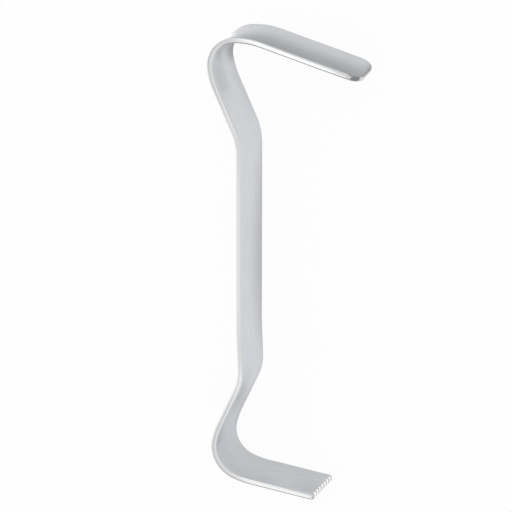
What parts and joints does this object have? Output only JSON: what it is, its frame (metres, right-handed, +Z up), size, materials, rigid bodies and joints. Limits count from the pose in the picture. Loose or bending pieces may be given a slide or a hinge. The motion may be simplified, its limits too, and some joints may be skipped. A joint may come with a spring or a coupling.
{
  "type": "surgical retractor",
  "caption": "Handheld surgical retractor bent from flat steel bar, with a long plain blade, a short toothed blade and a flat grip set forward between their heels.",
  "frame": {"origin": "below the middle of the part's box, on the surface that it lies on", "axes": "+X along the blades towards their ends, +Y along the grip from the toothed blade to the plain blade, +Z up through the width of the bar, from the long edge that it lies on"},
  "size_m": [0.0606, 0.1807, 0.02],
  "materials": {
    "satin_steel": "fine satin, polished smooth at the rounded edges"
  },
  "bodies": {
    "root": {"retractor_body": "satin_steel"}
  },
  "joints": []
}
